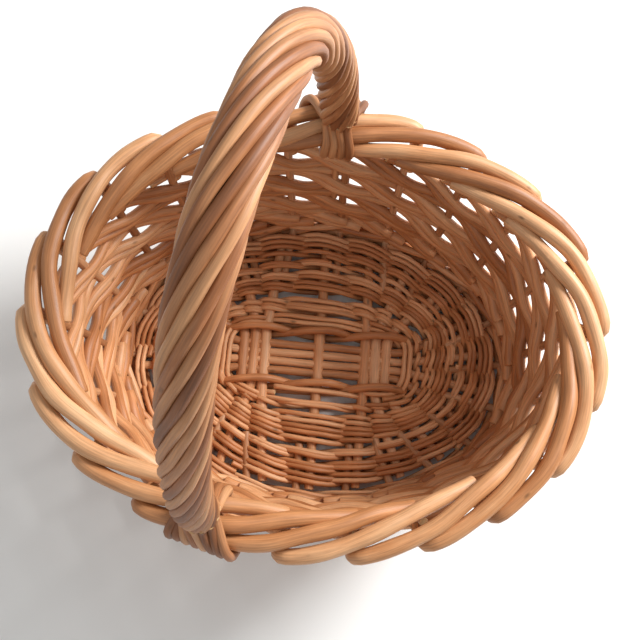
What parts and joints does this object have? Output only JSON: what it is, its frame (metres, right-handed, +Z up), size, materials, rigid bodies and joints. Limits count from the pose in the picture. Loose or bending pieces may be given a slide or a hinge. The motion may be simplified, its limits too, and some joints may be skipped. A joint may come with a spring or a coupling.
{
  "type": "egg collection basket",
  "caption": "Oval woven willow basket with a flared openwork side, a rolled rod border and a fixed roped bow handle, for gathering eggs.",
  "frame": {"origin": "on the surface the basket stands on, under the middle of its outline", "axes": "+Z up; +X along the oval towards its right end; +Y across it towards the back; the bow handle crosses from front left to back"},
  "size_m": [0.365, 0.2955, 0.3837],
  "materials": {
    "base_stick_willow": "satin",
    "base_weave_willow": "satin",
    "stake_willow": "satin",
    "side_weave_willow": "satin",
    "border_willow": "satin",
    "handle_willow": "satin"
  },
  "bodies": {
    "root": {"cross_stick_1": "base_stick_willow", "cross_stick_2": "base_stick_willow", "cross_stick_3": "base_stick_willow", "cross_stick_4": "base_stick_willow", "cross_stick_5": "base_stick_willow", "cross_stick_6": "base_stick_willow", "cross_stick_7": "base_stick_willow", "long_stick_1": "base_stick_willow", "long_stick_2": "base_stick_willow", "long_stick_3": "base_stick_willow", "long_stick_4": "base_stick_willow", "slath_binding_front": "base_weave_willow", "slath_binding_back": "base_weave_willow", "base_weave_1": "base_weave_willow", "base_weave_2": "base_weave_willow", "base_weave_3": "base_weave_willow", "base_edge_wale": "side_weave_willow", "stakes_left": "stake_willow", "stakes_right": "stake_willow", "stakes_front": "stake_willow", "stakes_back": "stake_willow", "upsett_wale": "side_weave_willow", "side_weave_1": "side_weave_willow", "side_weave_2": "side_weave_willow", "side_weave_3": "side_weave_willow", "side_weave_4": "side_weave_willow", "side_weave_5": "side_weave_willow", "side_weave_6": "side_weave_willow", "side_weave_7": "side_weave_willow", "border_left": "border_willow", "border_right": "border_willow", "border_front": "border_willow", "border_back": "border_willow", "handle_bow": "handle_willow", "handle_rope_a": "handle_willow", "handle_rope_b": "handle_willow", "handle_foot_near": "handle_willow", "handle_foot_far": "handle_willow"}
  },
  "joints": []
}
